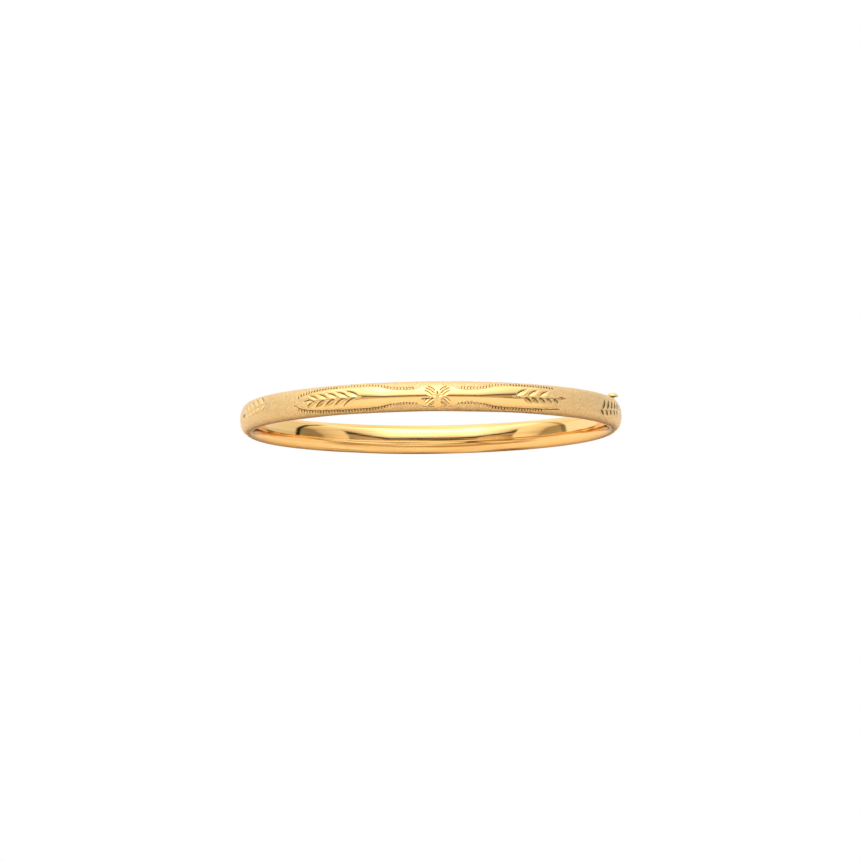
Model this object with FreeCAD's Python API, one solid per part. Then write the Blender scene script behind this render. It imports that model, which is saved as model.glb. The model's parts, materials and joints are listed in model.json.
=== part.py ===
import FreeCAD, Part
import math
import os

# Hinged oval bangle in hollow oval tube. Millimetres, +Z along the wrist axis.
# Origin: centre of the wrist opening. The engraved front half is on the -Y side,
# the plain back half on the +Y side. Hinge at the -X tip, clasp at the +X tip.

# Bangle size
OPENING_LENGTH = 57.2          # wrist opening along X
OPENING_WIDTH = 50.8           # wrist opening along Y
TUBE_HEIGHT = 4.76             # band width, along Z
TUBE_THICKNESS = 2.6           # wrist side to outside
WALL = 0.35
END_FULLNESS = 1.03            # end radius against that of an ellipse
JOINT_GAP = 0.08               # between the closed halves, at both tips
CAP_THICKNESS = 0.4            # plates that close the tube's ends

# Hinge
OPENING_ANGLE = 48.0
STOP_MARGIN_ANGLE = 3.0        # left on each side when fully open
BARREL_RADIUS = 0.7
PIN_RADIUS = 0.3
PIN_RUNNING_CLEARANCE = 0.04
PIN_COVER = 0.08               # least metal outside the pin at the barrel's ends
PIN_PROUD = 0.05               # pin past each end of the barrel
BARREL_CLEARANCE = 0.06
KNUCKLE_GAP = 0.05
BACK_KNUCKLE_HEIGHT = 1.1
KNUCKLE_LEAF_CLEARANCE = 0.14  # end of a knuckle's leaf to the tube's wrist side

# Clasp: a folded tongue on the back half enters a box in the front half
LEAF_THICKNESS = 0.4
FOLD_RADIUS = 0.9              # outer radius of the tongue's fold
FOLD_DEPTH = 5.0               # joint plane to the fold's axis
FOLD_Z = -0.2
FOLD_SEAM = 0.03
TONGUE_SIDE_CLEARANCE = 0.14   # tongue to tube, at its lowest edge
CHANNEL_CLEARANCE = 0.08
CHANNEL_HEADROOM = 0.12
CATCH_LIP = 0.04               # how far the mouth plate overlaps the spring leaf
CATCH_END_GAP = 0.03           # spring leaf to the back of the mouth plate
BOX_WALL = 0.35                # closed end of the catch box
PRESS_ANGLE = 5.0
BUTTON_DEPTH = 3.0             # joint plane to the button's axis
POST_RADIUS = 0.3
SLOT_CLEARANCE = 0.06
SLOT_END_CLEARANCE = 0.12
HEAD_RADIUS = 1.0
HEAD_RIM = 0.22
HEAD_HEIGHT = 0.82
HEAD_CLEARANCE = 0.04          # head to tube when pressed
POST_TENON = 0.3               # post inside the head

# Worked-out sizes
half_length = (OPENING_LENGTH + TUBE_THICKNESS) / 2
half_width = (OPENING_WIDTH + TUBE_THICKNESS) / 2
half_height = TUBE_HEIGHT / 2
half_thickness = TUBE_THICKNESS / 2
bore_half_height = half_height - WALL
bore_half_thickness = half_thickness - WALL
half_gap = JOINT_GAP / 2
cap_depth = half_gap + CAP_THICKNESS

# The tube's centre line is an oval of four tangent arcs
end_radius = half_width ** 2 / half_length * END_FULLNESS
side_radius = (half_length ** 2 + half_width ** 2 - 2 * half_length * end_radius) / (
    2 * (half_width - end_radius)
)
end_centre_x = half_length - end_radius
side_centre_y = side_radius - half_width
radius_step = side_radius - end_radius
join_angle = math.degrees(math.atan2(side_centre_y / radius_step, end_centre_x / radius_step))

pin_x = BARREL_RADIUS - half_length - half_thickness
pin_offset = half_thickness - BARREL_RADIUS
covered = (pin_offset + PIN_RADIUS + PIN_COVER) / half_thickness
barrel_half_height = half_height * math.sqrt(1 - covered ** 2) - PIN_PROUD
bore_at_barrel = bore_half_thickness * math.sqrt(1 - (barrel_half_height / bore_half_height) ** 2)
knuckle_leaf_reach = pin_offset + bore_at_barrel - KNUCKLE_LEAF_CLEARANCE

# The tongue curves about the hinge pin, and drifts across the bore by this much
tongue_drift = FOLD_DEPTH ** 2 / 2 * (1 / end_radius - 1 / (half_length - pin_x))
tongue_radius = half_length - tongue_drift / 2 - pin_x
tongue_low = FOLD_Z - FOLD_RADIUS
tongue_top = FOLD_Z + FOLD_RADIUS
bore_at_tongue = bore_half_thickness * math.sqrt(1 - (tongue_low / bore_half_height) ** 2)
tongue_width = 2 * (bore_at_tongue - tongue_drift / 2 - TONGUE_SIDE_CLEARANCE)
channel_depth = FOLD_DEPTH + FOLD_RADIUS + SLOT_END_CLEARANCE
box_depth = channel_depth + BOX_WALL
slot_width = 2 * (POST_RADIUS + SLOT_CLEARANCE)
press_drop = (FOLD_DEPTH - BUTTON_DEPTH + HEAD_RADIUS) * math.sin(math.radians(PRESS_ANGLE))
head_bottom = half_height + press_drop + HEAD_CLEARANCE
post_x = pin_x + math.sqrt(tongue_radius ** 2 - BUTTON_DEPTH ** 2)

FAR = 2 * (OPENING_LENGTH + OPENING_WIDTH)
ORIGIN = FreeCAD.Vector(0, 0, 0)
UP = FreeCAD.Vector(0, 0, 1)
END_SWEEP = 30.0               # degrees of tube that hold the fittings at a tip


def oval_edge(height, thickness, start, end):
    top = FreeCAD.Vector(0, 0, height)
    outside = FreeCAD.Vector(thickness, 0, 0)
    return Part.ArcOfEllipse(Part.Ellipse(top, outside, ORIGIN), start, end).toShape()


def oval_face(height, thickness):
    return Part.Face(Part.Wire([oval_edge(height, thickness, 0, 2 * math.pi)]))


def shell_face(start):
    """Half of the tube's wall: start 0 gives the outer half, pi the wrist side."""
    outline = oval_edge(half_height, half_thickness, start, start + math.pi)
    bore = oval_edge(bore_half_height, bore_half_thickness, start, start + math.pi)
    edges = [outline, bore]
    for sign in (-1, 1):
        near = FreeCAD.Vector(0, 0, sign * bore_half_height)
        edges.append(Part.makeLine(near, FreeCAD.Vector(0, 0, sign * half_height)))
    return Part.Face(Part.Wire(Part.__sortEdges__(edges)))


def bend(face, centre, radius, start, sweep):
    """Sweep a section round one arc of the centre line, angles in degrees."""
    section = face.copy()
    section.translate(FreeCAD.Vector(radius, 0, 0))
    section.rotate(ORIGIN, UP, start)
    solid = section.revolve(ORIGIN, UP, sweep)
    solid.translate(FreeCAD.Vector(centre[0], centre[1], 0))
    return solid


def half_tube(face, side):
    """Half of the bangle: side -1 is the front, +1 the back."""
    start = 0 if side > 0 else -180
    side_sweep = 180 - 2 * join_angle
    first = bend(face, (side * end_centre_x, 0), end_radius, start, join_angle)
    middle = bend(face, (0, -side * side_centre_y), side_radius, start + join_angle, side_sweep)
    last_start = start + join_angle + side_sweep
    last = bend(face, (-side * end_centre_x, 0), end_radius, last_start, join_angle)
    return first.fuse([middle, last])


def tip(face, direction):
    """The tube's section swept across a tip: direction -1 hinge end, +1 clasp end."""
    start = (0 if direction > 0 else 180) - END_SWEEP
    return bend(face, (direction * end_centre_x, 0), end_radius, start, 2 * END_SWEEP)


def slab(y_low, y_high, z_low=-FAR / 2, z_high=FAR / 2):
    corner = FreeCAD.Vector(-FAR / 2, y_low, z_low)
    return Part.makeBox(FAR, y_high - y_low, z_high - z_low, corner)


def depth_slab(side, near, far):
    """Everything between two depths into the front (-1) or back (+1) half."""
    return slab(*sorted((side * near, side * far)))


def about_pin(width, depth_from, depth_to, z_low, z_high):
    """A strip at the clasp that curves about the hinge pin; depths run into the front."""
    base = FreeCAD.Vector(pin_x, 0, z_low)
    height = z_high - z_low
    ring = Part.makeCylinder(tongue_radius + width / 2, height, base)
    ring = ring.cut(Part.makeCylinder(tongue_radius - width / 2, height, base))
    corner = FreeCAD.Vector(0, -depth_to, z_low)
    return ring.common(Part.makeBox(FAR, depth_to - depth_from, height, corner))


def post_cylinder(radius, z_low, z_high):
    base = FreeCAD.Vector(post_x, -BUTTON_DEPTH, z_low)
    return Part.makeCylinder(radius, z_high - z_low, base)


def pin_cylinder(radius, z_low, z_high):
    return Part.makeCylinder(radius, z_high - z_low, FreeCAD.Vector(pin_x, 0, z_low))


def hinge_clearance():
    """The room that the barrel and the opening halves need."""
    reach = 2 * TUBE_THICKNESS
    spread = reach * math.tan(math.radians(OPENING_ANGLE / 2 + STOP_MARGIN_ANGLE))
    corners = [(pin_x, 0), (pin_x - reach, spread), (pin_x - reach, -spread), (pin_x, 0)]
    outline = Part.makePolygon([FreeCAD.Vector(x, y, -half_height) for x, y in corners])
    wedge = Part.Face(outline).extrude(UP * TUBE_HEIGHT)
    room = barrel_half_height + 2 * PIN_PROUD
    return wedge.fuse(pin_cylinder(BARREL_RADIUS + BARREL_CLEARANCE, -room, room))


def post_slot():
    """Slot in the front half's edge, open at the joint, round at its closed end."""
    low = tongue_top - CATCH_LIP
    end = POST_RADIUS + SLOT_END_CLEARANCE
    straight = about_pin(slot_width, -half_gap, BUTTON_DEPTH + end - slot_width / 2, low, FAR)
    round_x = post_x - (end - slot_width / 2) * BUTTON_DEPTH / tongue_radius
    centre = FreeCAD.Vector(round_x, slot_width / 2 - BUTTON_DEPTH - end, low)
    return straight.fuse(Part.makeCylinder(slot_width / 2, FAR - low, centre))


def shell(start, side, cuts):
    solid = half_tube(shell_face(start), side)
    return solid.cut([slab(-half_gap, half_gap)] + cuts)


def end_cap(direction, side):
    core = tip(oval_face(bore_half_height, bore_half_thickness), direction)
    return core.common(depth_slab(side, half_gap, cap_depth))


def knuckle(side, z_low, z_high, bore_radius):
    leaf_y = half_gap if side > 0 else -cap_depth
    corner = FreeCAD.Vector(pin_x, leaf_y, z_low)
    leaf = Part.makeBox(knuckle_leaf_reach, CAP_THICKNESS, z_high - z_low, corner)
    barrel = pin_cylinder(BARREL_RADIUS, z_low, z_high).fuse(leaf)
    flush = barrel.common(tip(oval_face(half_height, half_thickness), -1))
    return flush.cut(pin_cylinder(bore_radius, z_low, z_high))


def tongue_leaf(flat_z, fold_low, fold_high, depth_from):
    """One leaf of the tongue with its quarter of the fold."""
    flat = about_pin(tongue_width, depth_from, FOLD_DEPTH, flat_z, flat_z + LEAF_THICKNESS)
    axis_point = FreeCAD.Vector(0, -FOLD_DEPTH, FOLD_Z)
    along_x = FreeCAD.Vector(1, 0, 0)
    ring = Part.makeCylinder(FOLD_RADIUS, FAR, axis_point, along_x)
    ring = ring.cut(Part.makeCylinder(FOLD_RADIUS - LEAF_THICKNESS, FAR, axis_point, along_x))
    quarter = about_pin(tongue_width, FOLD_DEPTH, channel_depth, fold_low, fold_high)
    return flat.fuse(ring.common(quarter))


def button_head():
    """Mushroom head: a flat underside, a short rim and a domed top."""
    rise = HEAD_HEIGHT - HEAD_RIM
    dome_radius = (HEAD_RADIUS ** 2 + rise ** 2) / (2 * rise)
    middle = math.asin(HEAD_RADIUS / dome_radius) / 2
    top = head_bottom + HEAD_HEIGHT
    centre = FreeCAD.Vector(0, 0, head_bottom)
    under = FreeCAD.Vector(HEAD_RADIUS, 0, head_bottom)
    rim = FreeCAD.Vector(HEAD_RADIUS, 0, head_bottom + HEAD_RIM)
    over = dome_radius * (1 - math.cos(middle))
    shoulder = FreeCAD.Vector(dome_radius * math.sin(middle), 0, top - over)
    crown = FreeCAD.Vector(0, 0, top)
    outline = [
        Part.makeLine(centre, under),
        Part.makeLine(under, rim),
        Part.Arc(rim, shoulder, crown).toShape(),
        Part.makeLine(crown, centre),
    ]
    head = Part.Face(Part.Wire(outline)).revolve(ORIGIN, UP, 360)
    head.translate(FreeCAD.Vector(post_x, -BUTTON_DEPTH, 0))
    return head


def build():
    parts = {}
    hinge_room = hinge_clearance()
    slot = post_slot()
    base_leaf = tongue_leaf(tongue_low, tongue_low, FOLD_Z, -cap_depth)
    spring_depth = cap_depth + CATCH_END_GAP
    spring_leaf = tongue_leaf(
        tongue_top - LEAF_THICKNESS, FOLD_Z + FOLD_SEAM, tongue_top, spring_depth
    )

    parts["front_outer_shell"] = shell(0, -1, [hinge_room, slot])
    parts["front_inner_shell"] = shell(math.pi, -1, [hinge_room, slot])
    parts["back_outer_shell"] = shell(0, 1, [hinge_room])
    parts["back_inner_shell"] = shell(math.pi, 1, [hinge_room])

    knuckle_low = BACK_KNUCKLE_HEIGHT / 2 + KNUCKLE_GAP
    upper = knuckle(-1, knuckle_low, barrel_half_height, PIN_RADIUS)
    lower = knuckle(-1, -barrel_half_height, -knuckle_low, PIN_RADIUS)
    bore = PIN_RADIUS + PIN_RUNNING_CLEARANCE
    middle = knuckle(1, -BACK_KNUCKLE_HEIGHT / 2, BACK_KNUCKLE_HEIGHT / 2, bore)
    parts["front_upper_knuckle"] = upper
    parts["front_lower_knuckle"] = lower
    parts["back_knuckle"] = middle
    pin_half_length = barrel_half_height + PIN_PROUD
    pin = pin_cylinder(PIN_RADIUS, -pin_half_length, pin_half_length)
    ends = [edge for edge in pin.Edges if edge.BoundBox.ZLength < PIN_PROUD]
    parts["hinge_pin"] = pin.makeFillet(PIN_PROUD, ends)
    parts["front_hinge_cap"] = end_cap(-1, -1).cut([hinge_room, upper, lower])
    parts["back_hinge_cap"] = end_cap(-1, 1).cut([hinge_room, middle])

    channel_width = tongue_width + 2 * CHANNEL_CLEARANCE
    floor = tongue_low - CHANNEL_CLEARANCE
    window = about_pin(channel_width, -half_gap, box_depth, floor, tongue_top - CATCH_LIP)
    ceiling = tongue_top + CHANNEL_HEADROOM
    channel = about_pin(channel_width, 0, channel_depth, floor, ceiling)
    core = tip(oval_face(bore_half_height, bore_half_thickness), 1)
    parts["front_clasp_cap"] = end_cap(1, -1).cut([window, slot])
    parts["catch_box"] = core.common(depth_slab(-1, cap_depth, box_depth)).cut([channel, slot])
    parts["back_clasp_cap"] = end_cap(1, 1).cut(base_leaf)
    parts["tongue_base_leaf"] = base_leaf

    post = post_cylinder(POST_RADIUS, tongue_top - LEAF_THICKNESS, head_bottom + POST_TENON)
    parts["button_post"] = post
    parts["tongue_spring_leaf"] = spring_leaf.cut(post)
    parts["button_head"] = button_head().cut(post)
    return parts


def main():
    os.makedirs("parts", exist_ok=True)
    for name, shape in build().items():
        solids = shape.removeSplitter().Solids
        body = solids[0] if len(solids) == 1 else Part.makeCompound(solids)
        box = body.BoundBox
        sizes = f"{box.XLength:.2f} x {box.YLength:.2f} x {box.ZLength:.2f}"
        print(f"{name}: {len(solids)} solid, {sizes} mm, valid {body.isValid()}")
        body.exportStep(f"parts/{name}.step")
    print(f"pin at x {pin_x:.3f}, fold at y {-FOLD_DEPTH:.3f} z {FOLD_Z:.3f}")


main()
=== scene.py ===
import json
import math
from collections import namedtuple
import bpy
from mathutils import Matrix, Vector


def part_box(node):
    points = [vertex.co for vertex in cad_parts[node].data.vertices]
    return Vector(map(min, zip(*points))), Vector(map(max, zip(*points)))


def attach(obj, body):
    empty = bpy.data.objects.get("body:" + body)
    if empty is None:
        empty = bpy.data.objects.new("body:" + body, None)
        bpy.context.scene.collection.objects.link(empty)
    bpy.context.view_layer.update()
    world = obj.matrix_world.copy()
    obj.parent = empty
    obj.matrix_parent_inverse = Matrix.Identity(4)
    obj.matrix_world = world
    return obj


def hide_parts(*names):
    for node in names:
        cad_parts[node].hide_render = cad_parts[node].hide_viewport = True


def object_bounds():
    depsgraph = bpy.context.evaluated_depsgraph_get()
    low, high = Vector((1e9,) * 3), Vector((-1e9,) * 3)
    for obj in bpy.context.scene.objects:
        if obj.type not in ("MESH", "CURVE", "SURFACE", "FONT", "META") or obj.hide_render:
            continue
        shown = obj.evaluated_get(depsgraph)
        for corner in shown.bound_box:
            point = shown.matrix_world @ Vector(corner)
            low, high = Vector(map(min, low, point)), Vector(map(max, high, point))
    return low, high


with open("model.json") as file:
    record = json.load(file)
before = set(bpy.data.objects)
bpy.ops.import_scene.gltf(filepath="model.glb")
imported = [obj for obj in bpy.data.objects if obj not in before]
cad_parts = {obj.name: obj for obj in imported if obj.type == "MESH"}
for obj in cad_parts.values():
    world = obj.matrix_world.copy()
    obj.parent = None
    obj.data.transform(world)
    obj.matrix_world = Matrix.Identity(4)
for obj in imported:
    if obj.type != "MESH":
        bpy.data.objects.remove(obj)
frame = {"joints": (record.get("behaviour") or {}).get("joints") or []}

from types import SimpleNamespace

import bpy
import numpy as np
from bpy.props import FloatProperty, FloatVectorProperty, IntProperty, PointerProperty
from mathutils import Quaternion, Vector

bl_info = {
    "name": "Engraved Hinged Bangle",
    "version": (1, 0, 0),
    "blender": (4, 5, 0),
    "location": "View3D > Sidebar > Bangle",
    "description": "Finishes a hinged oval bangle: engraved front, polished back, hinge and clasp",
    "category": "Object",
}

# Lengths are millimetres until a mesh is made. Only the property groups, CAD_BOX and names that
# end in _m hold metres.
MM = 0.001
CAD_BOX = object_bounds()


def corners_mm(node):
    low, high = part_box(node)
    return Vector(low) / MM, Vector(high) / MM


def in_mm(length_m):
    """A stored length in millimetres, clear of single-precision noise."""
    return round(length_m / MM, 6)


_, COVER_HIGH = corners_mm("front_outer_shell")
LINER_LOW, LINER_HIGH = corners_mm("front_inner_shell")
HEAD_LOW, HEAD_HIGH = corners_mm("button_head")
POST_LOW, POST_HIGH = corners_mm("button_post")
KNUCKLE_LOW, KNUCKLE_HIGH = corners_mm("front_upper_knuckle")
_, LEAF_HIGH = corners_mm("tongue_spring_leaf")
HINGE = next(joint for joint in frame["joints"] if joint["name"] == "bangle_hinge")

# The tube: its centre line is an oval of four arcs, its section an oval
HALF_LENGTH = LINER_HIGH.x
HALF_WIDTH = -LINER_LOW.y
HALF_THICKNESS = COVER_HIGH.x - LINER_HIGH.x
HALF_HEIGHT = COVER_HIGH.z
END_FULLNESS = 1.03
END_RADIUS = HALF_WIDTH ** 2 / HALF_LENGTH * END_FULLNESS
SIDE_RADIUS = (HALF_LENGTH ** 2 + HALF_WIDTH ** 2 - 2 * HALF_LENGTH * END_RADIUS) / (
    2 * (HALF_WIDTH - END_RADIUS)
)
END_CENTRE = HALF_LENGTH - END_RADIUS
SIDE_CENTRE = SIDE_RADIUS - HALF_WIDTH
JOIN_ANGLE = math.atan2(SIDE_CENTRE, END_CENTRE)
SIDE_RUN = (SIDE_RADIUS + HALF_THICKNESS) * (math.pi / 2 - JOIN_ANGLE)
END_RUN = (END_RADIUS + HALF_THICKNESS) * JOIN_ANGLE
HALF_RUN = SIDE_RUN + END_RUN      # outside length from the middle of a half to a tip

# Hinge and slot room, as in the metal under the finish
PIN_X = HINGE["pos_m"][0] / MM
BARREL_RADIUS = -KNUCKLE_LOW.y
BARREL_CLEARANCE = 0.06
BARREL_END_ROOM = 0.1
SPREAD_SPARE_DEG = 3.0
POST_CLEARANCE = 0.06
SLOT_BELOW_LEAF = 0.04
BARREL_ROOM_HEIGHT = KNUCKLE_HIGH.z + BARREL_END_ROOM
SPREAD_ANGLE = math.radians(HINGE["range_deg"][1] / 2 + SPREAD_SPARE_DEG)
POST_CENTRE = (POST_LOW + POST_HIGH) / 2
SLOT_HALF_WIDTH = (POST_HIGH.x - POST_LOW.x) / 2 + POST_CLEARANCE
SLOT_END = POST_LOW.y - 2 * POST_CLEARANCE
SLOT_FLOOR = LEAF_HIGH.z - SLOT_BELOW_LEAF


class BangleSizes(bpy.types.PropertyGroup):
    wall: FloatProperty(
        name="Wall", description="Thickness of the tube's wall", default=0.35 * MM,
        unit="LENGTH", precision=5,
    )
    joint_gap: FloatProperty(
        name="Joint gap", description="Gap between the closed halves", default=0.08 * MM,
        unit="LENGTH", precision=5,
    )
    cover_columns: IntProperty(
        name="Cover columns", description="Mesh columns along the engraved cover", default=1050,
        subtype="UNSIGNED",
    )
    cover_rows: IntProperty(
        name="Cover rows", description="Mesh rows across the engraved cover", default=80,
        subtype="UNSIGNED",
    )
    plain_columns: IntProperty(
        name="Plain columns", description="Mesh columns along a polished shell", default=420,
        subtype="UNSIGNED",
    )
    plain_rows: IntProperty(
        name="Plain rows", description="Mesh rows across a polished shell", default=64,
        subtype="UNSIGNED",
    )


class EngravingSizes(bpy.types.PropertyGroup):
    flower_place: FloatProperty(
        name="Flower place", description="Flower from the middle of the cover",
        default=1.1 * MM, unit="LENGTH", precision=5,
    )
    leaf_depth: FloatProperty(
        name="Leaf depth", description="Deepest point of a cut leaf", default=0.18 * MM,
        unit="LENGTH", precision=5,
    )
    tick_pitch: FloatProperty(
        name="Border pitch", description="Spacing of the border's short cuts",
        default=0.52 * MM, unit="LENGTH", precision=5,
    )
    stipple_depth: FloatProperty(
        name="Stipple depth", description="Depth of one punch mark", default=0.022 * MM,
        unit="LENGTH", precision=6,
    )
    stipple_pitch: FloatProperty(
        name="Stipple pitch", description="Mean spacing of the punch marks", default=0.30 * MM,
        unit="LENGTH", precision=5,
    )


class GoldColours(bpy.types.PropertyGroup):
    bright: FloatVectorProperty(
        name="Bright gold", description="Polished metal", subtype="COLOR", size=3,
        default=(0.93, 0.62, 0.26),
    )
    deep: FloatVectorProperty(
        name="Deep gold", description="Warmer tone in the variation", subtype="COLOR", size=3,
        default=(0.86, 0.53, 0.20),
    )
    satin: FloatVectorProperty(
        name="Satin gold", description="Stippled metal", subtype="COLOR", size=3,
        default=(0.76, 0.515, 0.24),
    )
    # Painted reflection: the dark tone of the streaks drawn into the wrist side's colour
    line: FloatVectorProperty(
        name="Painted streak tone", description="Tone of the wrist side's fine lines", subtype="COLOR",
        size=3, default=(0.42, 0.19, 0.04),
    )
    shaded: FloatVectorProperty(
        name="Shaded cut", description="Steep side of the engraver's cuts", subtype="COLOR", size=3,
        default=(0.035, 0.030, 0.012),
    )


# ---------------------------------------------------------------- tube geometry

def outside_path(run, side):
    """Centre points and outward normals at outside distances from the middle of a half."""
    distance = np.abs(run)
    on_side = distance < SIDE_RUN
    side_turn = distance / (SIDE_RADIUS + HALF_THICKNESS) - math.pi / 2
    end_turn = (distance - SIDE_RUN) / (END_RADIUS + HALF_THICKNESS) - JOIN_ANGLE
    turn = np.where(on_side, side_turn, end_turn)
    radius = np.where(on_side, SIDE_RADIUS, END_RADIUS)
    hand = np.where(run < 0, -1.0, 1.0)
    normal_x = np.cos(turn) * hand
    normal_y = -np.sin(turn) * side
    x = np.where(on_side, 0.0, END_CENTRE) * hand + radius * normal_x
    y = np.where(on_side, -SIDE_CENTRE, 0.0) * side + radius * normal_y
    return x, y, normal_x, normal_y


SECTION_STEPS = 1200            # points that measure the way round the oval section
BORE_ROWS = 7                   # mesh rows on the inside of the tube
CREASE_DEG = 35.0               # faces that meet at more than this keep a crease
CUT_CREASE_DEG = 50.0           # the same, once the cutters are through


def section_rows(half_height, half_thickness, rows):
    """Evenly spaced points up half an oval: depth outwards, height, and arc distance."""
    angle = np.linspace(0.0, math.pi, SECTION_STEPS)
    speed = np.hypot(half_thickness * np.cos(angle), half_height * np.sin(angle))
    steps = (speed[1:] + speed[:-1]) / 2 * (angle[1] - angle[0])
    length = np.concatenate([[0.0], np.cumsum(steps)])
    place = np.linspace(0.0, length[-1], rows)
    turn = np.interp(place, length, angle)
    return half_thickness * np.sin(turn), -half_height * np.cos(turn), place - length[-1] / 2


def section_normals(depth, height):
    """Unit normals of the oval section, in depth and height."""
    a = depth / HALF_THICKNESS ** 2
    b = height / HALF_HEIGHT ** 2
    size = np.hypot(a, b)
    return a / size, b / size


def shade_smooth(mesh, crease_deg):
    mesh.polygons.foreach_set("use_smooth", [True] * len(mesh.polygons))
    mesh.set_sharp_from_angle(angle=math.radians(crease_deg))


def mesh_object(name, vertices_mm, faces):
    mesh = bpy.data.meshes.new(name)
    mesh.from_pydata([tuple(v * MM for v in vertex) for vertex in vertices_mm], [], faces)
    shade_smooth(mesh, CREASE_DEG)
    piece = bpy.data.objects.new(name, mesh)
    bpy.context.scene.collection.objects.link(piece)
    return piece


def shell_piece(name, side, outside, columns, rows, wall, gap, carve=None):
    """A closed half-tube shell. carve(run, across) gives relief and named masks."""
    reach = HALF_RUN - gap / 2
    run = np.linspace(-reach, reach, columns)
    facing = 1.0 if outside else -1.0
    depth, height, across = section_rows(HALF_HEIGHT, HALF_THICKNESS, rows)
    bore_depth, bore_height, _ = section_rows(
        HALF_HEIGHT - wall, HALF_THICKNESS - wall, BORE_ROWS
    )
    normal_depth, normal_height = section_normals(depth, height)
    relief, masks = carve(run, across) if carve else (np.zeros((rows, columns)), {})
    loop_depth = np.vstack([
        facing * (depth[:, None] + relief * normal_depth[:, None]),
        np.repeat(facing * bore_depth[::-1, None], columns, axis=1),
    ])
    loop_height = np.vstack([
        height[:, None] + relief * normal_height[:, None],
        np.repeat(bore_height[::-1, None], columns, axis=1),
    ])
    x, y, normal_x, normal_y = outside_path(run, side)
    grid = np.stack([
        x[None, :] + normal_x[None, :] * loop_depth,
        y[None, :] + normal_y[None, :] * loop_depth,
        loop_height,
    ], axis=-1)
    ring = rows + BORE_ROWS
    vertices = grid.transpose(1, 0, 2).reshape(-1, 3)
    faces = grid_faces(columns, ring, flip=(side * facing > 0))
    piece = mesh_object(name, vertices, faces)
    for mask_name, mask in masks.items():
        values = np.vstack([mask, np.zeros((BORE_ROWS, columns))])
        layer = piece.data.attributes.new(mask_name, "FLOAT", "POINT")
        layer.data.foreach_set("value", values.T.reshape(-1).astype(np.float32))
    return piece


def grid_faces(columns, ring, flip):
    """Faces of a closed sleeve whose columns are rings of points, with its two end faces."""
    faces = []
    for column in range(columns - 1):
        start = column * ring
        for row in range(ring):
            following = (row + 1) % ring
            face = (start + row, start + following, start + ring + following, start + ring + row)
            faces.append(face[::-1] if flip else face)
    first = tuple(range(ring))
    last = tuple((columns - 1) * ring + row for row in range(ring))
    faces.append(first if flip else first[::-1])
    faces.append(last[::-1] if flip else last)
    return faces


# ---------------------------------------------------------------- cutters

def prism(name, outline, low, high):
    """A closed prism over a counter-clockwise outline of (x, y) points."""
    count = len(outline)
    vertices = [(x, y, low) for x, y in outline] + [(x, y, high) for x, y in outline]
    faces = [tuple(reversed(range(count))), tuple(range(count, 2 * count))]
    for corner in range(count):
        after = (corner + 1) % count
        faces.append((corner, after, count + after, count + corner))
    return mesh_object(name, vertices, faces)


def circle(centre_x, radius, sides):
    """Points round a circle on the X axis, counter-clockwise."""
    turns = [2 * math.pi * step / sides for step in range(sides)]
    return [(centre_x + radius * math.cos(turn), radius * math.sin(turn)) for turn in turns]


def barrel_cutter():
    """Round room for the hinge barrel."""
    outline = circle(PIN_X, BARREL_RADIUS + BARREL_CLEARANCE, 72)
    return prism("barrel_cutter", outline, -BARREL_ROOM_HEIGHT, BARREL_ROOM_HEIGHT)


def spread_cutter():
    """Wedge outside the pin that lets the halves swing apart."""
    reach = 4 * HALF_THICKNESS
    spread = reach * math.tan(SPREAD_ANGLE)
    outline = [(PIN_X, 0.0), (PIN_X - reach, spread), (PIN_X - reach, -spread)]
    return prism("spread_cutter", outline, -2 * HALF_HEIGHT, 2 * HALF_HEIGHT)


def slot_cutter():
    """Slot for the button's post, curved about the hinge pin and open at the joint."""
    past_joint = 0.3
    arc_steps = 12
    end_steps = 16
    swing = math.hypot(POST_CENTRE.x - PIN_X, POST_CENTRE.y)
    straight_end = SLOT_END + SLOT_HALF_WIDTH
    start = math.asin(straight_end / swing)
    stop = math.asin(past_joint / swing)
    turns = [start + (stop - start) * step / arc_steps for step in range(arc_steps + 1)]
    outer = [(swing + SLOT_HALF_WIDTH, turn) for turn in turns]
    inner = [(swing - SLOT_HALF_WIDTH, turn) for turn in reversed(turns)]
    outline = [(PIN_X + r * math.cos(turn), r * math.sin(turn)) for r, turn in outer + inner]
    end_x = PIN_X + swing * math.cos(start)
    end_y = swing * math.sin(start)
    for step in range(1, end_steps):
        turn = math.pi + math.pi * step / end_steps
        outline.append(
            (end_x + SLOT_HALF_WIDTH * math.cos(turn), end_y + SLOT_HALF_WIDTH * math.sin(turn))
        )
    return prism("slot_cutter", outline, SLOT_FLOOR, 2 * HALF_HEIGHT)


def cut_away(piece, cutters):
    """Cut the cutters out of the piece and remove them."""
    for cutter in cutters:
        modifier = piece.modifiers.new(cutter.name, "BOOLEAN")
        modifier.operation = "DIFFERENCE"
        modifier.solver = "EXACT"
        modifier.object = cutter
    depsgraph = bpy.context.evaluated_depsgraph_get()
    mesh = bpy.data.meshes.new_from_object(piece.evaluated_get(depsgraph))
    piece.modifiers.clear()
    piece.data = mesh
    shade_smooth(mesh, CUT_CREASE_DEG)
    for cutter in cutters:
        bpy.data.objects.remove(cutter, do_unlink=True)


# ---------------------------------------------------------------- engraving

CUT_FADE = 4                    # a cut is fully bright metal from 1/4 of its depth on
SHADE_FADE = 3                  # and takes its full light or shade from 1/3 on
LEAF_BELLY = 0.75               # below 1, the widest point is nearer the leaf's foot
TIP_FADE = 4                    # a leaf grows shallow where it has under half its width
EASE = 0.6                      # how far a corner of a line is rounded along the band


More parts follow.
